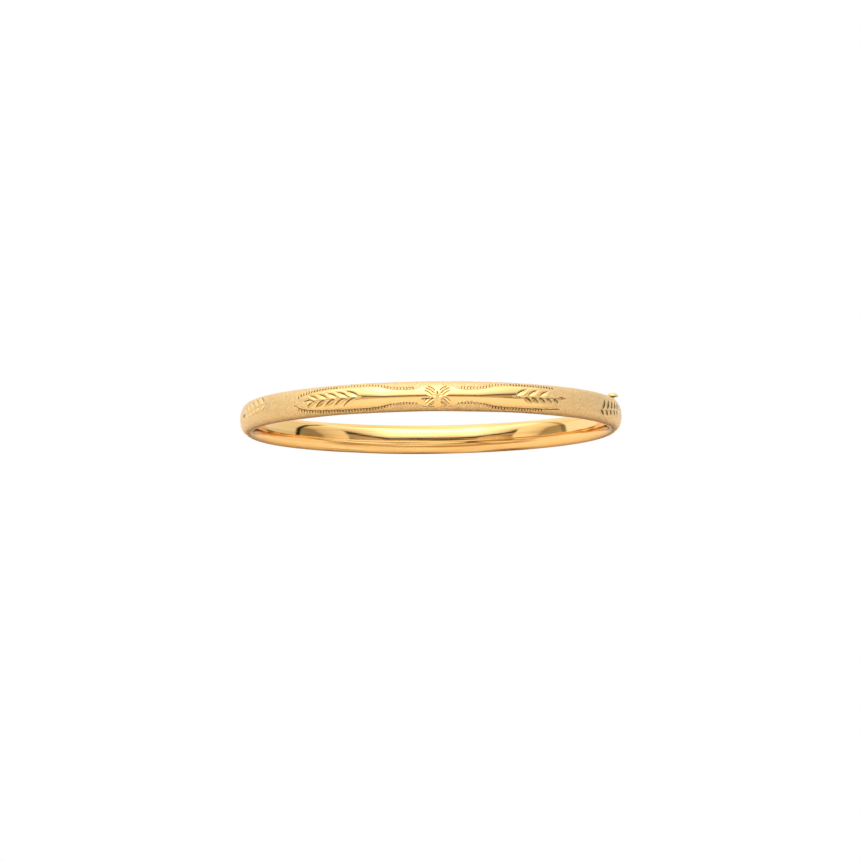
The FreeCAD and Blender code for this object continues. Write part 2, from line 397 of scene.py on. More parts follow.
class Engraving:
    """Relief and masks over the cover: run along the tube, across up its width."""

    def __init__(self, run, across):
        self.run = run
        self.across = across[:, None]
        shape = (len(across), len(run))
        self.height = np.zeros(shape)
        self.polish = np.zeros(shape)
        self.cut = np.zeros(shape)
        self.shade = np.zeros(shape)

    def window(self, low, high):
        return slice(np.searchsorted(self.run, low), np.searchsorted(self.run, high))

    def press(self, view, depth, facet, steep_side):
        """Lower the metal by a facet and mark its bright and its shaded part."""
        self.height[:, view] = np.minimum(self.height[:, view], -depth * facet)
        self.cut[:, view] = np.maximum(self.cut[:, view], np.clip(facet * CUT_FADE, 0.0, 1.0))
        shaded = np.clip(facet * SHADE_FADE, 0.0, 1.0) * steep_side
        bright = np.clip(facet * SHADE_FADE, 0.0, 1.0) * (1 - steep_side)
        kept = self.shade[:, view] * (1 - bright)
        self.shade[:, view] = np.maximum(kept, shaded)

    def leaf(self, place, across, turn, length, width, depth, valley=0.4, dull=False):
        """A bright-cut leaf: one broad and one steep facet that meet in a valley.

        A positive valley puts the steep facet on the upper side whichever way the leaf
        points, a negative one on the lower side. The steep facet takes the painted shade, a
        darker colour; when asked, the broad facet takes it instead and the steep one stays bright.
        """
        if math.cos(turn) < 0:
            valley = -valley
        view = self.window(place - length, place + length)
        along_run = self.run[view][None, :] - place
        up = self.across - across
        along = (along_run * math.cos(turn) + up * math.sin(turn)) / length
        beside = up * math.cos(turn) - along_run * math.sin(turn)
        inside = np.clip(along, 0.0, 1.0)
        half = width / 2 * np.sin(math.pi * inside ** LEAF_BELLY) + 1e-6
        share = beside / half
        low_wall = (share + 1) / (1 + valley)
        high_wall = (1 - share) / (1 - valley)
        facet = np.clip(np.minimum(low_wall, high_wall), 0.0, 1.0)
        facet = facet * np.clip(half / width * TIP_FADE, 0.0, 1.0)
        facet = np.where((along > 0) & (along < 1), facet, 0.0)
        steep_side = high_wall < low_wall if valley > 0 else low_wall < high_wall
        if dull:
            steep_side = ~steep_side
        self.press(view, depth, facet, steep_side)

    def groove(self, places, heights, above, below, depth):
        """A groove along a smooth line: a bright bevel above it, a steep wall below."""
        line = smooth_line(self.run, places, heights)
        gap = self.across - line
        facet = np.clip(np.minimum(1 - gap / above, 1 + gap / below), 0.0, 1.0)
        facet = facet * ((self.run > min(places)) & (self.run < max(places)))
        self.press(slice(None), depth, facet, gap < 0)

    def panel(self, places, low, high, fade):
        """Polish between two lines; fade gives where it starts and ends to turn satin."""
        edge = 0.08
        bottom = smooth_line(self.run, places, low)
        top = smooth_line(self.run, places, high)
        inside = np.minimum(self.across - bottom, top - self.across) / edge
        between = (self.run > min(places)) & (self.run < max(places))
        left = between * np.clip((fade[1] - self.run) / (fade[1] - fade[0]), 0.0, 1.0)
        self.polish = np.maximum(self.polish, np.clip(inside, 0.0, 1.0) * left)

    def edges(self, width):
        """A narrow polished strip along both edges of the cover."""
        fade = 0.1
        rim = self.across[-1, 0] - np.abs(self.across)
        self.polish = np.maximum(self.polish, np.clip((width - rim) / fade, 0.0, 1.0))

    def stipple(self, pitch, depth):
        """Overlapping round punch marks wherever the metal isn't polished or cut."""
        seed = 11
        cover = 1.4             # marks for each square of the pitch
        random = np.random.default_rng(seed)
        width = self.across[-1, 0] - self.across[0, 0]
        marks = int(cover * (self.run[-1] - self.run[0]) * width / pitch ** 2)
        places = random.uniform(self.run[0], self.run[-1], marks)
        heights = random.uniform(self.across[0, 0], self.across[-1, 0], marks)
        sizes = random.uniform(0.45, 0.75, marks) * pitch
        punched = np.zeros_like(self.height)
        rise = self.across[:, 0]
        for place, high, size in zip(places, heights, sizes):
            view = self.window(place - size, place + size)
            rows = slice(np.searchsorted(rise, high - size), np.searchsorted(rise, high + size))
            gap = np.hypot(self.run[view][None, :] - place, rise[rows][:, None] - high) / size
            dent = -depth * (1 - np.clip(gap, 0.0, 1.0) ** 2)
            punched[rows, view] = np.minimum(punched[rows, view], dent)
        self.height += punched * (1 - self.polish) * (1 - self.cut)


def smooth_line(run, places, heights):
    """A line through a few points with eased corners."""
    order = np.argsort(places)
    known = np.asarray(places, float)[order]
    values = np.asarray(heights, float)[order]
    eased = np.zeros_like(run)
    for shift in (-EASE, -EASE / 2, 0.0, EASE / 2, EASE):
        eased += np.interp(run + shift, known, values) / 5
    return eased


# Border of the polished panel, as distance from the flower against height on the band
PANEL_PLACES = (-0.5, 2.0, 3.4, 5.4, 7.5, 9.0, 11.0, 16.5, 19.5, 21.5, 23.6, 25.2)
PANEL_LOW = (-2.00, -1.95, -1.05, -0.95, -1.20, -1.62, -1.78, -1.76, -1.64, -1.44, -1.02, -0.15)
PANEL_HIGH = (1.75, 1.65, 0.95, 0.90, 1.05, 1.50, 1.78, 1.78, 1.66, 1.40, 0.90, -0.05)
RIM_POLISH = 0.28               # width of the polished strip along the cover's edges
CLASP_FADE = (17.6, 20.6)       # where the panel turns satin, along the cover from its middle
HINGE_FADE = (-19.8, -21.8)

# Short cuts along one edge of the panel: which side of it they stand on, the first and last
# distance from the flower, and the stretch where the broad facet is the shaded one
Border = namedtuple("Border", "edge lean first last dull_first dull_last")
HINGE_SIDE_BORDERS = (
    Border(PANEL_LOW, -1.0, 3.3, 25.0, 10.5, 25.0),
    Border(PANEL_HIGH, 1.0, 3.9, 25.0, 16.5, 25.0),
)
CLASP_SIDE_BORDERS = (
    Border(PANEL_LOW, -1.0, 3.3, 18.6, 9.0, 18.0),
    Border(PANEL_HIGH, 1.0, 3.9, 21.0, 12.0, 21.0),
)
TICK_LENGTH, TICK_WIDTH, TICK_DEPTH = 0.60, 0.42, 0.13
TICK_OUT = 0.05                 # how far outside the panel's edge a cut starts
TICK_LEAN_DEG = 14.0            # away from the flower

# A row of leaves along a stem, with its turn in degrees from the band's length
LeafRow = namedtuple("LeafRow", "leaves pitch first length width turn valley")
UPPER_NEAR_HINGE = LeafRow(5, 1.85, 0.0, 2.8, 0.92, 25, 0.4)
LOWER_NEAR_HINGE = LeafRow(5, 1.85, 0.5, 2.6, 0.92, -29, 0.4)
UPPER_NEAR_CLASP = LeafRow(3, 2.15, 0.1, 2.6, 0.90, 29, 0.4)
LOWER_NEAR_CLASP = LeafRow(5, 1.38, 1.5, 1.9, 0.84, -30, 0.1)
UPPER_HINGE_END = LeafRow(5, 1.65, 0.6, 2.6, 0.92, 44, 0.25)
LOWER_HINGE_END = LeafRow(5, 1.65, 0.2, 1.7, 0.95, -34, -0.1)
UPPER_CLASP_END = UPPER_HINGE_END._replace(valley=-0.25)
LOWER_CLASP_END = LOWER_HINGE_END._replace(valley=0.05)

# A spray: which way from the flower, where it starts, its height and slope, its two rows of
# leaves, and the reach of its stem
Spray = namedtuple("Spray", "hand start height slope rows reach")
SPRAYS = (
    Spray(-1, 12.9, 0.05, 0.0, (UPPER_NEAR_HINGE, LOWER_NEAR_HINGE), 8.6),
    Spray(1, 12.9, 0.0, 0.02, (UPPER_NEAR_CLASP, LOWER_NEAR_CLASP), 8.4),
    Spray(-1, 32.2, 0.80, -0.11, (UPPER_HINGE_END, LOWER_HINGE_END), 8.4),
    Spray(1, 31.3, -0.65, 0.10, (UPPER_CLASP_END, LOWER_CLASP_END), 8.4),
)
LEAF_SHRINK = 0.06              # each leaf of a row is smaller than the last by this share
LEAF_OFF_STEM = 0.10


def engrave_flower(work, sizes):
    """Four petals of parallel flutes round a small centre, with leaves on one side whose broad
    facets carry painted shade.
    """
    centre_height = -0.15
    flute_spacing = 0.46
    for petal in (36.0, 144.0, 216.0, 324.0):
        turn = math.radians(petal)
        for flute in (-1, 0, 1):
            offset = flute * flute_spacing
            start = 0.62 + 0.18 * abs(flute)
            length = 2.05 - 0.42 * abs(flute)
            place = sizes.flower_place + start * math.cos(turn) - offset * math.sin(turn)
            height = centre_height + start * math.sin(turn) + offset * math.cos(turn)
            work.leaf(place, height, turn, length, 0.52, sizes.leaf_depth * 0.95)
    centre_radius = 0.15
    for turn in (math.radians(angle) for angle in (5.0, 95.0, 175.0, 265.0)):
        place = sizes.flower_place + centre_radius * math.cos(turn)
        height = centre_height + centre_radius * math.sin(turn)
        work.leaf(place, height, turn, 0.75, 0.28, sizes.leaf_depth * 0.5)
    for hand in (-1, 1):
        places = [sizes.flower_place + hand * along for along in (0.5, 1.2, 2.3)]
        work.groove(places, (-1.78, -1.86, -1.80), 0.10, 0.12, 0.05)
    for start in (0.65, 1.1, 1.55, 2.0):
        place = sizes.flower_place - start
        height = -0.47 - 0.05 * start
        work.leaf(place, height, math.radians(183.0), 0.70, 0.42, 0.10, valley=0.6, dull=True)


def engrave_spray(work, sizes, spray):
    """A stem with two rows of leaves that point away from the flower."""
    def place_at(along):
        place = sizes.flower_place + spray.hand * (spray.start + along)
        return place, spray.height + spray.slope * along

    slope_turn = math.atan(spray.slope)
    for row in spray.rows:
        tilt = math.radians(row.turn) + slope_turn
        turn = tilt if spray.hand > 0 else math.pi - tilt
        shift = math.copysign(LEAF_OFF_STEM, row.turn)
        for number in range(row.leaves):
            place, middle = place_at(row.first + number * row.pitch)
            shrink = 1.0 - LEAF_SHRINK * number
            work.leaf(
                place, middle + shift, turn, row.length * shrink, row.width * shrink,
                sizes.leaf_depth, row.valley,
            )
    out = slope_turn if spray.hand > 0 else math.pi - slope_turn
    tip_place, tip_height = place_at(spray.reach - 0.5)
    work.leaf(tip_place, tip_height, out, 2.2, 0.70, sizes.leaf_depth)
    first_place, first_height = place_at(-0.5)
    last_place, last_height = place_at(spray.reach)
    work.groove((first_place, last_place), (first_height, last_height), 0.11, 0.09, 0.07)


def engrave_border(work, sizes, hand):
    """Short cuts just outside the polished panel, leaning away from the flower."""
    places = np.asarray(PANEL_PLACES)
    for border in HINGE_SIDE_BORDERS if hand < 0 else CLASP_SIDE_BORDERS:
        turn = border.lean * math.radians(90.0 - hand * TICK_LEAN_DEG)
        count = int((border.last - border.first) / sizes.tick_pitch)
        for tick in range(count):
            along = border.first + tick * sizes.tick_pitch
            place = sizes.flower_place + hand * along
            height = float(np.interp(along, places, border.edge)) + border.lean * TICK_OUT
            # Within the listed stretch the broad facet takes the painted shade instead of the steep
            # one
            dull = border.dull_first < along < border.dull_last
            work.leaf(
                place, height, turn, TICK_LENGTH, TICK_WIDTH, TICK_DEPTH,
                valley=0.5 if dull else 0.05, dull=dull,
            )


def engrave_cover(run, across):
    """The whole engraved cover: its relief and the masks for its polish, cuts and shade."""
    lengths = bpy.context.scene.bangle_engraving
    sizes = SimpleNamespace(
        **{name: in_mm(getattr(lengths, name)) for name in EngravingSizes.__annotations__}
    )
    work = Engraving(run, across)
    work.edges(RIM_POLISH)
    for hand in (-1, 1):
        places = [sizes.flower_place + hand * along for along in PANEL_PLACES]
        work.panel(places, PANEL_LOW, PANEL_HIGH, CLASP_FADE if hand > 0 else HINGE_FADE)
        engrave_border(work, sizes, hand)
        # The groove along the panel's lower edge stops early where the panel turns satin
        last = -2 if hand > 0 else None
        work.groove(places[4:last], PANEL_LOW[4:last], 0.30, 0.20, 0.10)
    for spray in SPRAYS:
        engrave_spray(work, sizes, spray)
    engrave_flower(work, sizes)
    work.stipple(sizes.stipple_pitch, sizes.stipple_depth)
    return work.height, {"polish": work.polish, "cut": work.cut, "shade": work.shade}


SEAM_PLACE, SEAM_HALF_WIDTH, SEAM_DEPTH = -0.55, 0.11, 0.014


def rolled_liner(run, across):
    """The wrist side: a flatter middle, long waves, finer ones low down, a soldered seam."""
    random = np.random.default_rng(5)
    flattening, wave_height, line_height = 0.12, 0.0022, 0.034
    rise = across[:, None] / across[-1]
    flat = flattening * np.clip(1 - rise ** 2, 0.0, 1.0) * rise ** 2 * 4
    relief = flat * np.ones((1, len(run)))
    for wave in range(7):
        along_length = random.uniform(16.0, 45.0)
        across_length = random.uniform(0.8, 2.4)
        lean = random.uniform(0.0, 2 * math.pi)
        slant = random.uniform(0.0, 2 * math.pi)
        ripple = np.sin(2 * math.pi * run[None, :] / along_length + lean)
        swing = np.sin(2 * math.pi * across[:, None] / across_length + slant)
        relief += wave_height * ripple * swing
    middle = np.clip((21.0 - np.abs(run[None, :])) / 5.0, 0.0, 1.0)
    lower = np.clip((-across[:, None] - 0.45) / 0.4, 0.0, 1.0)
    edge = np.clip((1 - np.abs(rise)) / 0.12, 0.0, 1.0)
    for line in range(4):
        spacing = random.uniform(0.62, 1.5)
        drift = random.uniform(0.5, 2.6) * np.sin(run[None, :] / random.uniform(6.0, 16.0) + line)
        swell = 0.55 + 0.45 * np.sin(run[None, :] / random.uniform(3.0, 7.0) + 2.0 * line)
        wave = np.sin(2 * math.pi * across[:, None] / spacing + drift)
        relief += line_height * spacing * swell * wave * middle * lower * edge
    near = np.clip(1 - np.abs(across[:, None] - SEAM_PLACE) / SEAM_HALF_WIDTH, 0.0, 1.0)
    # The mask marks where the painted reflection streaks are stronger: low down, in the middle of
    # the run
    return relief - SEAM_DEPTH * near, {"painted_streaks": lower * middle}


# ---------------------------------------------------------------- shader effects

WHITE = (1.0, 1.0, 1.0, 1.0)
BLACK = (0.0, 0.0, 0.0, 1.0)


def new_group(name, inputs, outputs):
    """A node group whose inputs are colours or plain numbers by their defaults."""
    group = bpy.data.node_groups.new(name, "ShaderNodeTree")
    for socket, value in inputs.items():
        kind = "NodeSocketColor" if isinstance(value, tuple) else "NodeSocketFloat"
        made = group.interface.new_socket(socket, in_out="INPUT", socket_type=kind)
        made.default_value = value
    for socket in outputs:
        kind = "NodeSocketColor" if socket == "Color" else "NodeSocketFloat"
        group.interface.new_socket(socket, in_out="OUTPUT", socket_type=kind)
    return group, group.nodes.new("NodeGroupInput"), group.nodes.new("NodeGroupOutput")


def feed(tree, socket, value):
    """Link a node's output to a socket, or set the socket to a plain value."""
    if isinstance(value, bpy.types.NodeSocket):
        tree.links.new(value, socket)
    else:
        socket.default_value = value


def math_node(tree, operation, *values, clamp=False):
    node = tree.nodes.new("ShaderNodeMath")
    node.operation = operation
    node.use_clamp = clamp
    for socket, value in zip(node.inputs, values):
        feed(tree, socket, value)
    return node.outputs[0]


def step_between(tree, value, low, high):
    """Zero before low and one past high; low may be the larger."""
    node = tree.nodes.new("ShaderNodeMapRange")
    tree.links.new(value, node.inputs["Value"])
    node.inputs["From Min"].default_value = low
    node.inputs["From Max"].default_value = high
    return node.outputs["Result"]


def colour_mix(tree, share, first, second):
    node = tree.nodes.new("ShaderNodeMix")
    node.data_type = "RGBA"
    tree.links.new(share, node.inputs["Factor"])
    tree.links.new(first, node.inputs["A"])
    tree.links.new(second, node.inputs["B"])
    return node.outputs["Result"]


def object_point(tree):
    return tree.nodes.new("ShaderNodeTexCoord").outputs["Object"]


def stretched(tree, point, factors):
    node = tree.nodes.new("ShaderNodeVectorMath")
    node.operation = "MULTIPLY"
    node.inputs[1].default_value = factors
    tree.links.new(point, node.inputs[0])
    return node.outputs[0]


def noise(tree, point, scale, detail):
    node = tree.nodes.new("ShaderNodeTexNoise")
    node.inputs["Detail"].default_value = detail
    tree.links.new(point, node.inputs["Vector"])
    feed(tree, node.inputs["Scale"], scale)
    return node.outputs["Fac"]


def tone_group():
    """Two close tones of gold that drift over the surface."""
    group, given, result = new_group(
        "Gold tone", {"Light": WHITE, "Deep": BLACK, "Scale": 120.0}, ("Color",)
    )
    drift = noise(group, object_point(group), given.outputs["Scale"], 3.0)
    colour = colour_mix(group, drift, given.outputs["Light"], given.outputs["Deep"])
    group.links.new(colour, result.inputs["Color"])
    return group


def polish_group():
    """Fine polishing marks: a roughness that wanders and a faint height."""
    group, given, result = new_group(
        "Polishing marks", {"Roughness": 0.1, "Variation": 0.05, "Mark scale": 900.0},
        ("Roughness", "Height"),
    )
    point = object_point(group)
    fine = stretched(group, point, (1.0, 1.0, 9.0))
    marks = noise(group, fine, given.outputs["Mark scale"], 5.0)
    smudge = noise(group, point, 160.0, 2.0)
    both = math_node(group, "ADD", marks, smudge)
    centred = math_node(group, "SUBTRACT", both, 1.0)
    spread = math_node(group, "MULTIPLY", centred, given.outputs["Variation"])
    rough = math_node(group, "ADD", spread, given.outputs["Roughness"], clamp=True)
    group.links.new(rough, result.inputs["Roughness"])
    group.links.new(marks, result.inputs["Height"])
    return group


def stipple_group():
    """Small punch marks for satin metal, finer than the cut relief."""
    group, given, result = new_group(
        "Satin stipple", {"Scale": 5200.0, "Amount": 1.0}, ("Height",)
    )
    point = object_point(group)
    cells = group.nodes.new("ShaderNodeTexVoronoi")
    group.links.new(point, cells.inputs["Vector"])
    group.links.new(given.outputs["Scale"], cells.inputs["Scale"])
    cells.inputs["Randomness"].default_value = 0.9
    grain = math_node(group, "MULTIPLY", noise(group, point, 9000.0, 3.0), 0.5)
    dots = math_node(group, "ADD", cells.outputs["Distance"], grain)
    height = math_node(group, "MULTIPLY", dots, given.outputs["Amount"])
    group.links.new(height, result.inputs["Height"])
    return group


def shaded_cut_group():
    """Darkens the shaded side of a cut, with a little unevenness."""
    group, given, result = new_group(
        "Shaded cut", {"Metal": WHITE, "Dark": BLACK, "Shade": 0.0}, ("Color",)
    )
    uneven = noise(group, object_point(group), 1800.0, 2.0)
    amount = math_node(group, "MULTIPLY_ADD", uneven, 0.6, 0.6)
    share = math_node(group, "MULTIPLY", amount, given.outputs["Shade"], clamp=True)
    colour = colour_mix(group, share, given.outputs["Metal"], given.outputs["Dark"])
    group.links.new(colour, result.inputs["Color"])
    return group


def rolling_lines_and_painted_streaks_group():
    """Long fine lines that run round the tube: a faint bump left by rolling and buffing the wrist
    side, and painted reflection streaks in the colour.
    """
    group, given, result = new_group(
        "Rolling lines", {"Metal": WHITE, "Line": BLACK, "Line scale": 260.0, "Amount": 0.5},
        ("Color", "Height"),
    )
    long_way = stretched(group, object_point(group), (0.12, 0.12, 7.0))
    lines = noise(group, long_way, given.outputs["Line scale"], 3.0)
    peaks = step_between(group, lines, 0.52, 0.60)
    share = math_node(group, "MULTIPLY", peaks, given.outputs["Amount"])
    colour = colour_mix(group, share, given.outputs["Metal"], given.outputs["Line"])
    group.links.new(colour, result.inputs["Color"])
    group.links.new(lines, result.inputs["Height"])
    return group


EFFECTS = {
    "Rolling lines": rolling_lines_and_painted_streaks_group,
    "Gold tone": tone_group,
    "Polishing marks": polish_group,
    "Satin stipple": stipple_group,
    "Shaded cut": shaded_cut_group,
}


def effect(tree, name, **values):
    """Place a shared effect in a material and set its inputs."""
    group = bpy.data.node_groups.get(name) or EFFECTS[name]()
    node = tree.nodes.new("ShaderNodeGroup")
    node.node_tree = group
    for socket, value in values.items():
        feed(tree, node.inputs[socket.replace("_", " ")], value)
    return node


def with_alpha(colour):
    return (*colour, 1.0)


def metal(name):
    material = bpy.data.materials.new(name)
    material.use_nodes = True
    tree = material.node_tree
    shader = tree.nodes["Principled BSDF"]
    shader.inputs["Metallic"].default_value = 1.0
    return material, tree, shader


def bump_into(tree, shader, height, distance_m):
    bump = tree.nodes.new("ShaderNodeBump")
    bump.inputs["Distance"].default_value = distance_m
    tree.links.new(height, bump.inputs["Height"])
    tree.links.new(bump.outputs["Normal"], shader.inputs["Normal"])


def mask_of(tree, name):
    node = tree.nodes.new("ShaderNodeAttribute")
    node.attribute_name = name
    return node.outputs["Fac"]


POLISH_BUMP_M = 0.000004
ROLLING_BUMP_M = 0.000012
STIPPLE_BUMP_M = 0.00006
SATIN_ROUGHNESS = 0.31          # over that of the polish


def bright_tone(tree, scale):
    """The two polished tones of gold."""
    colours = bpy.context.scene.bangle_colours
    tone = effect(
        tree, "Gold tone", Light=with_alpha(colours.bright), Deep=with_alpha(colours.deep),
        Scale=scale,
    )
    return tone.outputs["Color"]


def shaded_by_mask(tree, gold):
    """The gold, dark where the piece's shade mask says so."""
    dark = with_alpha(bpy.context.scene.bangle_colours.shaded)
    cut = effect(tree, "Shaded cut", Metal=gold, Shade=mask_of(tree, "shade"), Dark=dark)
    return cut.outputs["Color"]


def polished_gold(name, roughness, variation, mark_scale=900.0, painted_shade=False):
    """Plain gold with polishing marks; brushed when rough, and when asked darkened with painted
    shade where the shade mask is set.
    """
    material, tree, shader = metal(name)
    gold = bright_tone(tree, 120.0)
    if painted_shade:
        gold = shaded_by_mask(tree, gold)
    marks = effect(
        tree, "Polishing marks", Roughness=roughness, Variation=variation, Mark_scale=mark_scale
    )
    tree.links.new(gold, shader.inputs["Base Color"])
    tree.links.new(marks.outputs["Roughness"], shader.inputs["Roughness"])
    bump_into(tree, shader, marks.outputs["Height"], POLISH_BUMP_M)
    return material


def rolled_gold():
    """Mirror-bright wrist side with long rolling lines: a faint bump, and painted reflection
    streaks in the colour that are stronger low down in the middle of the run.
    """
    colours = bpy.context.scene.bangle_colours
    material, tree, shader = metal("rolled_gold_finish")
    # Painted reflection streaks: a quarter strength everywhere, up to nine tenths low down in the
    # middle
    amount = math_node(tree, "MULTIPLY_ADD", mask_of(tree, "painted_streaks"), 0.65, 0.25)
    lines = effect(
        tree, "Rolling lines", Metal=bright_tone(tree, 110.0), Line=with_alpha(colours.line),
        Line_scale=260.0, Amount=amount,
    )
    marks = effect(tree, "Polishing marks", Roughness=0.08, Variation=0.05, Mark_scale=900.0)
    tree.links.new(lines.outputs["Color"], shader.inputs["Base Color"])
    tree.links.new(marks.outputs["Roughness"], shader.inputs["Roughness"])
    bump_into(tree, shader, lines.outputs["Height"], ROLLING_BUMP_M)
    return material


def engraved_gold():
    """Satin stipple with polished panels and mirror-bright cuts, by the relief's masks."""
    colours = bpy.context.scene.bangle_colours
    material, tree, shader = metal("engraved_gold")
    bright = math_node(tree, "MAXIMUM", mask_of(tree, "polish"), mask_of(tree, "cut"))
    satin = math_node(tree, "SUBTRACT", 1.0, bright, clamp=True)
    marks = effect(tree, "Polishing marks", Roughness=0.10, Variation=0.05, Mark_scale=1100.0)
    dots = effect(tree, "Satin stipple", Scale=6500.0, Amount=satin)
    grain = effect(
        tree, "Gold tone", Light=with_alpha([value * 1.3 for value in colours.satin]),
        Deep=with_alpha([value * 0.7 for value in colours.satin]), Scale=2600.0,
    )
    cut_metal = shaded_by_mask(tree, bright_tone(tree, 150.0))
    colour = colour_mix(tree, bright, grain.outputs["Color"], cut_metal)
    tree.links.new(colour, shader.inputs["Base Color"])
    satin_rough = math_node(tree, "MULTIPLY", satin, SATIN_ROUGHNESS)
    rough = math_node(tree, "ADD", marks.outputs["Roughness"], satin_rough)
    tree.links.new(rough, shader.inputs["Roughness"])
    bump_into(tree, shader, dots.outputs["Height"], STIPPLE_BUMP_M)
    return material


# ---------------------------------------------------------------- pieces

def dress(piece, material, body, slot, *nodes):
    """Give a new piece its metal and body, and hide the nodes that it stands for; the slot is not
    used.
    """
    piece.data.materials.clear()
    piece.data.materials.append(material)
    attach(piece, body)
    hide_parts(*nodes)


def finish_nodes(nodes, material):
    for node in nodes:
        for slot in bpy.data.objects[node].material_slots:
            slot.material = material


def hinge_cutters():
    return [barrel_cutter(), spread_cutter()]


class BANGLE_OT_engraved_cover(bpy.types.Operator):
    """Make the engraved outside of the front half"""
    bl_idname = "bangle.engraved_cover"
    bl_label = "Engraved cover"

    def execute(self, context):
        sizes = context.scene.bangle_sizes
        cover = shell_piece(
            "engraved_cover", -1, True, sizes.cover_columns, sizes.cover_rows,
            in_mm(sizes.wall), in_mm(sizes.joint_gap), engrave_cover,
        )
        cut_away(cover, hinge_cutters() + [slot_cutter()])
        dress(cover, engraved_gold(), "front_half", "satin_gold", "front_outer_shell")
        return {"FINISHED"}


class BANGLE_OT_polished_shells(bpy.types.Operator):
    """Make the plain back half and both wrist-side liners"""
    bl_idname = "bangle.polished_shells"
    bl_label = "Polished shells"

    def execute(self, context):
        sizes = context.scene.bangle_sizes
        liner = rolled_gold()
        cover = polished_gold("polished_gold_finish", roughness=0.09, variation=0.05)
        shells = (
            ("front_liner", -1, False, "front_half", "front_inner_shell", rolled_liner, liner),
            ("back_liner", 1, False, "back_half", "back_inner_shell", rolled_liner, liner),
            ("back_cover", 1, True, "back_half", "back_outer_shell", None, cover),
        )
        for name, side, outside, body, node, carve, gold in shells:
            shell = shell_piece(
                name, side, outside, sizes.plain_columns, sizes.plain_rows,
                in_mm(sizes.wall), in_mm(sizes.joint_gap), carve,
            )
            cutters = hinge_cutters()
            if side < 0:
                cutters.append(slot_cutter())
            cut_away(shell, cutters)
            dress(shell, gold, body, "polished_gold", node)
        return {"FINISHED"}


def turned(name, profile, segments=96, shaded=()):
    """A solid turned about the post's axis, from (radius, height) points that end on it.

    Shaded gives the least and greatest number of the points whose colour is darkened with painted
    shade.
    """
    centre_x, centre_y = POST_CENTRE.x, POST_CENTRE.y
    vertices = [(centre_x, centre_y, profile[0][1])]
    faces = []
    for radius, height in profile[1:-1]:
        for step in range(segments):
            turn = 2 * math.pi * step / segments
            x = centre_x + radius * math.cos(turn)
            y = centre_y + radius * math.sin(turn)
            vertices.append((x, y, height))
    vertices.append((centre_x, centre_y, profile[-1][1]))
    last = len(vertices) - 1
    rings = len(profile) - 2
    for step in range(segments):
        after = (step + 1) % segments
        faces.append((0, 1 + after, 1 + step))
        for ring in range(rings - 1):
            low = 1 + ring * segments
            high = low + segments
            faces.append((low + step, low + after, high + after, high + step))
        top = 1 + (rings - 1) * segments
        faces.append((top + step, top + after, last))
    piece = mesh_object(name, vertices, faces)
    # Painted shade: the listed rings get a mask that darkens their colour
    if shaded:
        painted_shade = [1.0 if shaded[0] <= ring <= shaded[1] else 0.0 for ring in range(1, rings + 1)]
        values = [0.0] + [value for value in painted_shade for step in range(segments)] + [0.0]
        piece.data.attributes.new("shade", "FLOAT", "POINT").data.foreach_set("value", values)
    return piece


UNDERSIDE_POINTS = (4, 10)      # the flare and the rim's start, in the button's profile, darkened with painted shade
CHAMFER = 0.03
RIM_ROLL = 0.12                 # radius of the button's rolled rim


def button_profile():
    """A short neck, a flared underside, a rolled rim and a low dome."""
    radius = (HEAD_HIGH.x - HEAD_LOW.x) / 2
    low = HEAD_LOW.z
    rise = HEAD_HIGH.z - low
    neck = 0.46 * radius
    neck_rise = 0.06 * rise
    rim_low = low + 0.20 * rise
    rim_centre = radius - RIM_ROLL
    flare_steps, rim_steps, dome_steps = 6, 8, 14
    profile = [(0.0, low), (neck - CHAMFER, low), (neck, low + CHAMFER), (neck, low + neck_rise)]
    for step in range(1, flare_steps + 1):
        share = step / flare_steps
        flare = neck + (radius - RIM_ROLL - neck) * share ** 1.6
        profile.append((flare, low + neck_rise + (rim_low - low - neck_rise) * share ** 0.8))
    for step in range(1, rim_steps + 1):
        turn = -math.pi / 2 + math.pi * step / rim_steps
        height = rim_low + RIM_ROLL + RIM_ROLL * math.sin(turn)
        profile.append((rim_centre + RIM_ROLL * math.cos(turn), height))
    dome_low = rim_low + 2 * RIM_ROLL - 0.02
    dome_rise = low + rise - dome_low
    dome_radius = radius - 1.3 * RIM_ROLL
    for step in range(dome_steps):
        turn = math.pi / 2 * step / dome_steps
        profile.append((dome_radius * math.cos(turn), dome_low + dome_rise * math.sin(turn)))
    profile.append((0.0, low + rise))
    return profile


def post_profile():
    """A plain post with softened ends and a turned line below the head."""
    radius = (POST_HIGH.x - POST_LOW.x) / 2
    low, high = POST_LOW.z, POST_HIGH.z
    line = HEAD_LOW.z - 0.16
    return [
        (0.0, low), (radius - CHAMFER, low), (radius, low + CHAMFER), (radius, line - CHAMFER),
        (radius - CHAMFER, line), (radius, line + CHAMFER), (radius, high - CHAMFER),
        (radius - CHAMFER, high), (0.0, high),
    ]


class BANGLE_OT_thumb_button(bpy.types.Operator):
    """Make the thumb button's head and post"""
    bl_idname = "bangle.thumb_button"
    bl_label = "Thumb button"

    def execute(self, context):
        # The flare under the head is darkened with painted shade
        gold = polished_gold(
            "button_gold_finish", roughness=0.10, variation=0.06, mark_scale=1500.0, painted_shade=True
        )
        head = turned("thumb_button", button_profile(), shaded=UNDERSIDE_POINTS)
        dress(head, gold, "catch_spring", "button_gold", "button_head")
        post = turned("thumb_button_post", post_profile(), segments=64)
        dress(post, gold, "catch_spring", "clasp_gold", "button_post")
        return {"FINISHED"}


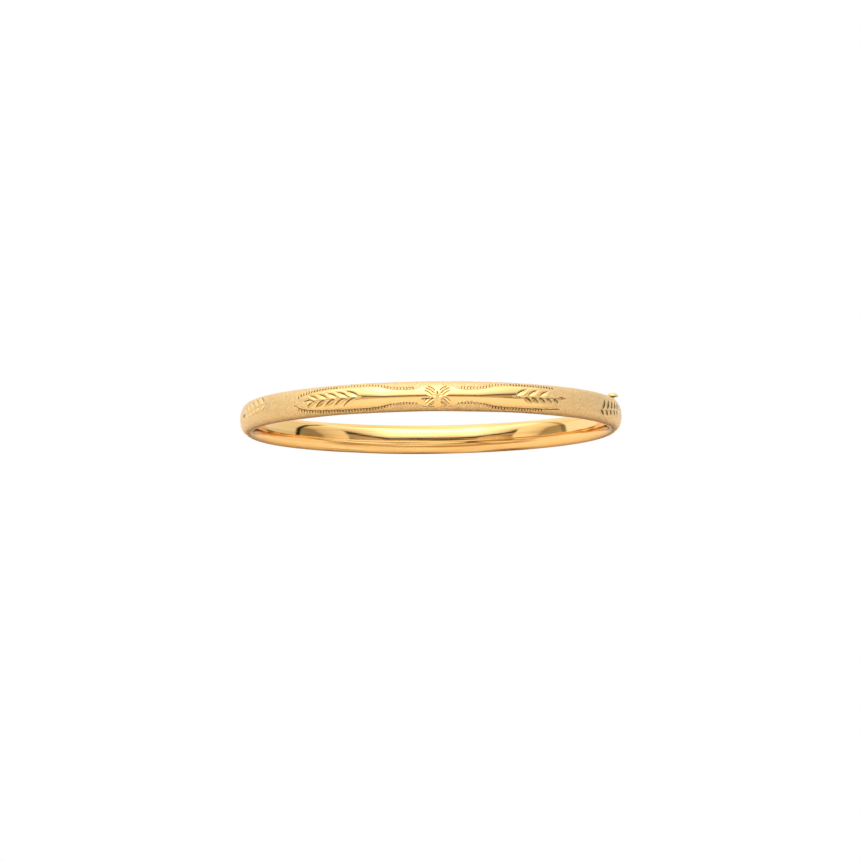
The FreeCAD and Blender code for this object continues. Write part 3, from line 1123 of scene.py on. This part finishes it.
class BANGLE_OT_hinge_finish(bpy.types.Operator):
    """Finish the hinge barrel, its pin and the end caps"""
    bl_idname = "bangle.hinge_finish"
    bl_label = "Hinge finish"

    def execute(self, context):
        barrel = polished_gold(
            "hinge_gold_finish", roughness=0.17, variation=0.10, mark_scale=1400.0
        )
        finish_nodes(
            ("front_upper_knuckle", "front_lower_knuckle", "back_knuckle", "hinge_pin"), barrel
        )
        caps = polished_gold("cap_gold_finish", roughness=0.24, variation=0.12, mark_scale=1200.0)
        finish_nodes(
            ("front_hinge_cap", "back_hinge_cap", "front_clasp_cap", "back_clasp_cap"), caps
        )
        return {"FINISHED"}


class BANGLE_OT_clasp_finish(bpy.types.Operator):
    """Finish the tongue and the catch box in brushed spring gold"""
    bl_idname = "bangle.clasp_finish"
    bl_label = "Clasp finish"

    def execute(self, context):
        brushed = polished_gold(
            "clasp_gold_finish", roughness=0.30, variation=0.18, mark_scale=2200.0
        )
        finish_nodes(("tongue_base_leaf", "tongue_spring_leaf", "catch_box"), brushed)
        return {"FINISHED"}


# ---------------------------------------------------------------- stage

def floor_material():
    """Pale matt floor, clear when seen from underneath."""
    material = bpy.data.materials.new("pale_floor")
    material.use_nodes = True
    tree = material.node_tree
    shader = tree.nodes["Principled BSDF"]
    shader.inputs["Base Color"].default_value = (0.86, 0.84, 0.79, 1.0)
    shader.inputs["Roughness"].default_value = 0.9
    shader.inputs["Specular IOR Level"].default_value = 0.1
    clear = tree.nodes.new("ShaderNodeBsdfTransparent")
    under = tree.nodes.new("ShaderNodeNewGeometry")
    mix = tree.nodes.new("ShaderNodeMixShader")
    tree.links.new(under.outputs["Backfacing"], mix.inputs["Fac"])
    tree.links.new(shader.outputs["BSDF"], mix.inputs[1])
    tree.links.new(clear.outputs["BSDF"], mix.inputs[2])
    tree.links.new(mix.outputs["Shader"], tree.nodes["Material Output"].inputs["Surface"])
    return material


# The light in front, by degrees of elevation, and the plain light behind
FRONT_STOPS = (
    (-90.0, (0.95, 0.83, 0.68)), (-12.0, (0.95, 0.82, 0.66)), (-8.0, (0.40, 0.32, 0.22)),
    (-5.0, (0.95, 0.83, 0.67)), (3.5, (0.78, 0.69, 0.57)), (5.5, (0.03, 0.03, 0.03)),
    (8.0, (0.03, 0.03, 0.03)), (10.0, (1.20, 1.18, 1.14)), (16.0, (1.75, 1.77, 1.80)),
    (26.0, (2.10, 2.15, 2.25)), (48.0, (2.20, 2.25, 2.38)), (60.0, (1.45, 1.42, 1.36)),
    (90.0, (1.60, 1.57, 1.50)),
)
BACK_STOPS = (
    (-90.0, (0.90, 0.84, 0.76)), (0.0, (1.04, 1.10, 1.16)), (40.0, (1.10, 1.14, 1.16)),
    (90.0, (1.55, 1.52, 1.46)),
)
# The dull flags at both sides, by how far sideways the light comes from
FLAG_STOPS = (
    (0.70, (1.35, 1.30, 1.20)), (0.86, (1.10, 1.02, 0.90)), (0.925, (0.80, 0.72, 0.60)),
    (0.94, (0.38, 0.35, 0.28)), (0.985, (0.42, 0.39, 0.32)), (1.0, (0.70, 0.62, 0.50)),
)


def band(tree, value, low, full_from, full_to, high):
    """One from full_from to full_to, falling to zero at low and at high."""
    rising = step_between(tree, value, low, full_from)
    falling = step_between(tree, value, high, full_to)
    return math_node(tree, "MULTIPLY", rising, falling)


def scaled(tree, colour, amount):
    node = tree.nodes.new("ShaderNodeVectorMath")
    node.operation = "SCALE"
    tree.links.new(colour, node.inputs[0])
    tree.links.new(amount, node.inputs["Scale"])
    return node.outputs[0]


def front_light(tree, x, z):
    """A low dark gap that rises to the sides, bright above, a softbox, and dull side flags."""
    sideways = math_node(tree, "ABSOLUTE", x)
    aside = math_node(tree, "SUBTRACT", sideways, 0.45)
    climb = math_node(tree, "MULTIPLY", math_node(tree, "MAXIMUM", aside, 0.0), 0.67)
    level = math_node(tree, "SUBTRACT", z, climb)
    box_height = band(tree, z, 0.44, 0.50, 0.72, 0.78)
    box_width = step_between(tree, sideways, 0.52, 0.40)
    box = math_node(tree, "MULTIPLY", box_height, box_width)
    outwards = step_between(tree, sideways, 0.38, 0.78)
    falloff = math_node(tree, "MULTIPLY_ADD", outwards, -0.40, 1.0)
    softbox = math_node(tree, "MULTIPLY_ADD", box, 0.52, falloff)
    lit = scaled(tree, elevation_ramp(tree, level, FRONT_STOPS), softbox)
    flag_place = math_node(
        tree, "MULTIPLY", step_between(tree, sideways, 0.775, 0.785),
        step_between(tree, z, 0.03, 0.06),
    )
    return colour_mix(tree, flag_place, lit, colour_ramp(tree, sideways, FLAG_STOPS))


def seam_shade(tree, x, y, z):
    """One, but dark in the upright seam between the front and the back of the tent."""
    seam = band(tree, y, -0.03, -0.015, 0.045, 0.06)
    seam_rise = band(tree, z, 0.04, 0.07, 0.70, 0.80)
    strength = math_node(tree, "MULTIPLY_ADD", step_between(tree, x, -0.1, 0.1), 0.48, 0.5)
    place = math_node(tree, "MULTIPLY", seam, seam_rise)
    return math_node(tree, "SUBTRACT", 1.0, math_node(tree, "MULTIPLY", place, strength))


def studio_world():
    """A tent that the camera sees as plain white, and the metal as a front, a back and a seam."""
    world = bpy.data.worlds.new("studio_tent")
    bpy.context.scene.world = world
    world.use_nodes = True
    tree = world.node_tree
    tree.nodes.clear()
    direction = tree.nodes.new("ShaderNodeTexCoord").outputs["Generated"]
    split = tree.nodes.new("ShaderNodeSeparateXYZ")
    tree.links.new(direction, split.inputs["Vector"])
    x, y, z = split.outputs
    behind = step_between(tree, y, 0.06, 0.08)
    back = elevation_ramp(tree, z, BACK_STOPS)
    tent = colour_mix(tree, behind, front_light(tree, x, z), back)
    side_shade = math_node(tree, "MULTIPLY_ADD", x, -0.13, 1.0)
    shade = math_node(tree, "MULTIPLY", side_shade, seam_shade(tree, x, y, z))
    seen = tree.nodes.new("ShaderNodeLightPath").outputs["Is Camera Ray"]
    white = tree.nodes.new("ShaderNodeRGB").outputs[0]
    white.default_value = WHITE
    background = tree.nodes.new("ShaderNodeBackground")
    colour = colour_mix(tree, seen, scaled(tree, tent, shade), white)
    tree.links.new(colour, background.inputs["Color"])
    output = tree.nodes.new("ShaderNodeOutputWorld")
    tree.links.new(background.outputs["Background"], output.inputs["Surface"])


def elevation_ramp(tree, rise, stops):
    """Colour by the sine of the elevation, from stops in degrees."""
    lift = math_node(tree, "MULTIPLY_ADD", rise, 0.5, 0.5)
    places = ((0.5 + 0.5 * math.sin(math.radians(angle)), colour) for angle, colour in stops)
    return colour_ramp(tree, lift, tuple(places))


def colour_ramp(tree, value, stops):
    ramp = tree.nodes.new("ShaderNodeValToRGB")
    tree.links.new(value, ramp.inputs["Fac"])
    elements = ramp.color_ramp.elements
    while len(elements) < len(stops):
        elements.new(0.5)
    for element, (place, colour) in zip(elements, stops):
        element.position = place
        element.color = with_alpha(colour)
    return ramp.outputs["Color"]


def set_camera():
    """A long lens from below the bangle's level, square to the engraved half."""
    elevation = math.radians(-7.57)
    distance_m = 1.048
    drop_m = 0.00204
    roll = math.radians(-0.63)
    data = bpy.data.cameras.new("camera")
    data.lens = 267.5
    data.sensor_width = 36.0
    camera = bpy.data.objects.new("camera", data)
    bpy.context.scene.collection.objects.link(camera)
    back = Vector((0.0, -math.cos(elevation), math.sin(elevation)))
    up = Vector((0.0, math.sin(elevation), math.cos(elevation)))
    camera.location = back * distance_m - up * drop_m
    camera.rotation_mode = "QUATERNION"
    level = (-back).to_track_quat("-Z", "Y")
    camera.rotation_quaternion = level @ Quaternion((0.0, 0.0, 1.0), roll)
    data.clip_start, data.clip_end = 0.05, 10.0
    bpy.context.scene.camera = camera


class BANGLE_OT_stage(bpy.types.Operator):
    """Set the floor, the studio light and the camera"""
    bl_idname = "bangle.stage"
    bl_label = "Stage"

    def execute(self, context):
        floor_radius_m, floor_gap_m, sides = 3.0, 0.00025, 96
        low_m = CAD_BOX[0].z - floor_gap_m
        mesh = bpy.data.meshes.new("floor")
        outline = [(x, y, low_m) for x, y in circle(0.0, floor_radius_m, sides)]
        mesh.from_pydata(outline, [], [tuple(range(sides))])
        floor = bpy.data.objects.new("floor", mesh)
        context.scene.collection.objects.link(floor)
        mesh.materials.append(floor_material())
        studio_world()
        set_camera()
        context.scene.view_settings.view_transform = "Standard"
        return {"FINISHED"}


class BANGLE_PT_panel(bpy.types.Panel):
    """The bangle's pieces and sizes in the sidebar"""
    bl_label = "Bangle"
    bl_space_type = "VIEW_3D"
    bl_region_type = "UI"
    bl_category = "Bangle"

    def draw(self, context):
        layout = self.layout
        for group in ("bangle_sizes", "bangle_engraving", "bangle_colours"):
            settings = getattr(context.scene, group)
            for name in settings.__annotations__:
                layout.prop(settings, name)
        for piece in PIECES:
            layout.operator(piece.bl_idname)


PIECES = (
    BANGLE_OT_engraved_cover, BANGLE_OT_polished_shells, BANGLE_OT_thumb_button,
    BANGLE_OT_hinge_finish, BANGLE_OT_clasp_finish, BANGLE_OT_stage,
)
GROUPS = (BangleSizes, EngravingSizes, GoldColours)


def register():
    for made in GROUPS + PIECES + (BANGLE_PT_panel,):
        bpy.utils.register_class(made)
    bpy.types.Scene.bangle_sizes = PointerProperty(type=BangleSizes)
    bpy.types.Scene.bangle_engraving = PointerProperty(type=EngravingSizes)
    bpy.types.Scene.bangle_colours = PointerProperty(type=GoldColours)


def unregister():
    del bpy.types.Scene.bangle_colours
    del bpy.types.Scene.bangle_engraving
    del bpy.types.Scene.bangle_sizes
    for made in reversed(GROUPS + PIECES + (BANGLE_PT_panel,)):
        bpy.utils.unregister_class(made)


def main():
    register()
    bpy.ops.bangle.engraved_cover()
    bpy.ops.bangle.polished_shells()
    bpy.ops.bangle.thumb_button()
    bpy.ops.bangle.hinge_finish()
    bpy.ops.bangle.clasp_finish()
    bpy.ops.bangle.stage()


if __name__ == "__main__":
    main()
